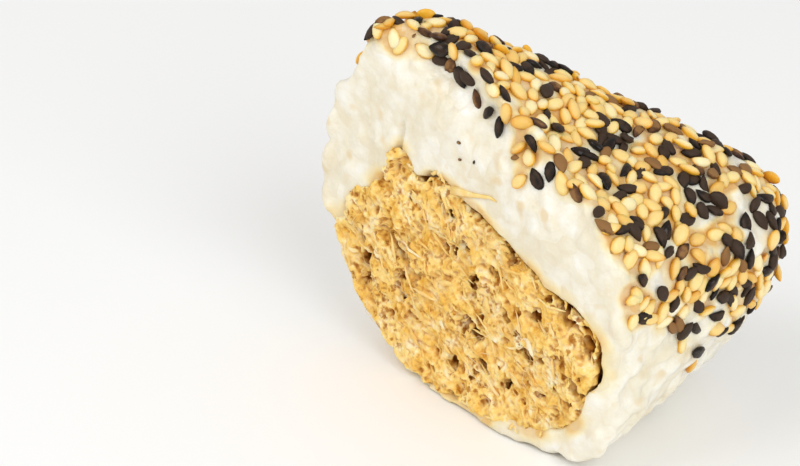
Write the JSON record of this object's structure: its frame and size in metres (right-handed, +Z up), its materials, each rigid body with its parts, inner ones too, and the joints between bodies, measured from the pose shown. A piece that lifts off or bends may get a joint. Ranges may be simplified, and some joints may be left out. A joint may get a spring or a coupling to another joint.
{
  "type": "onigiri rice ball half",
  "caption": "Half of a pressed rounded-triangle rice ball, cut open to show its shredded filling, with light and dark sesame seeds pressed into its top and shoulders.",
  "frame": {"origin": "on the surface it rests on, under the middle of the half's bounding box", "axes": "+Z up, +X along the cut from the apex to the base, and the cut face looks along -Y"},
  "size_m": [0.0588, 0.0414, 0.0507],
  "materials": {
    "rice": "moist cooked rice, pressed smooth, with toasted ivory and black sesame seeds on top",
    "filling": "shredded golden tan filling, moist and ragged"
  },
  "bodies": {
    "root": {"rice": "rice", "filling": "filling"}
  },
  "joints": []
}
